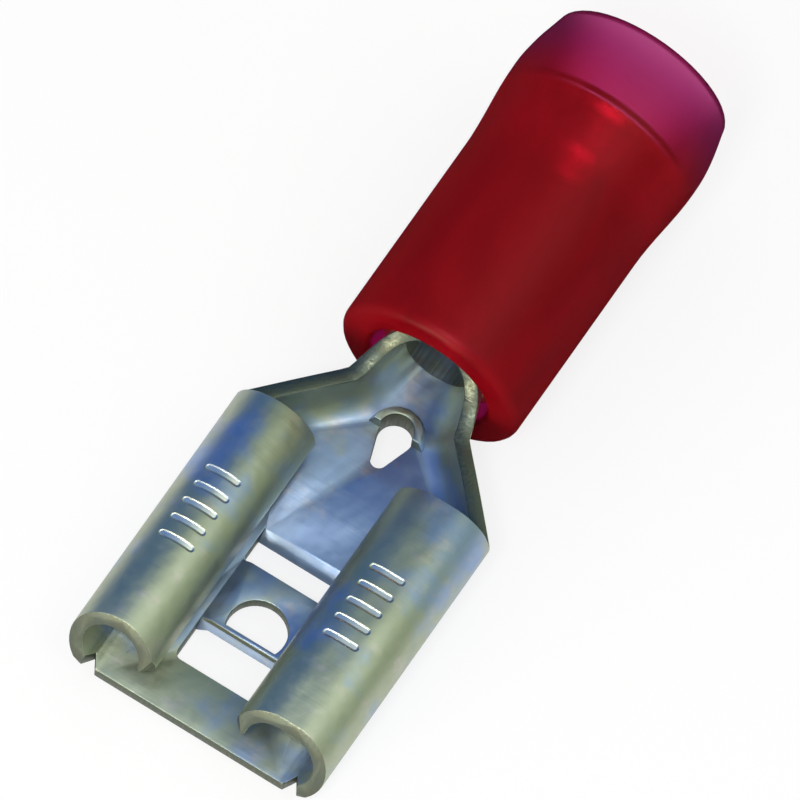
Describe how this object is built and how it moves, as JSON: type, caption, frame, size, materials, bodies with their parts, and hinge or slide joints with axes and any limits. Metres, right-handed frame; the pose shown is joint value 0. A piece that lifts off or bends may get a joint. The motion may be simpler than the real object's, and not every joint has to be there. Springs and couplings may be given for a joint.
{
  "type": "insulated female spade terminal",
  "caption": "Insulated female spade terminal: a folded receptacle with two curled lips grips a flat tab, and a round nylon sleeve covers the wire barrel.",
  "frame": {"origin": "on the wire barrel's axis, in the plane of the barrel's back end", "axes": "+Y out of the wire's end, -Y towards the mouth that takes the tab, +Z the open side of the receptacle, +X across"},
  "size_m": [0.0078, 0.0219, 0.0058],
  "materials": {
    "tinned_brass": "bright tin plate on stamped brass",
    "drawn_brass": "plain drawn brass",
    "red_nylon": "translucent moulded nylon"
  },
  "bodies": {
    "root": {"terminal_body": "tinned_brass", "support_sleeve": "drawn_brass", "insulating_sleeve": "red_nylon"}
  },
  "joints": []
}
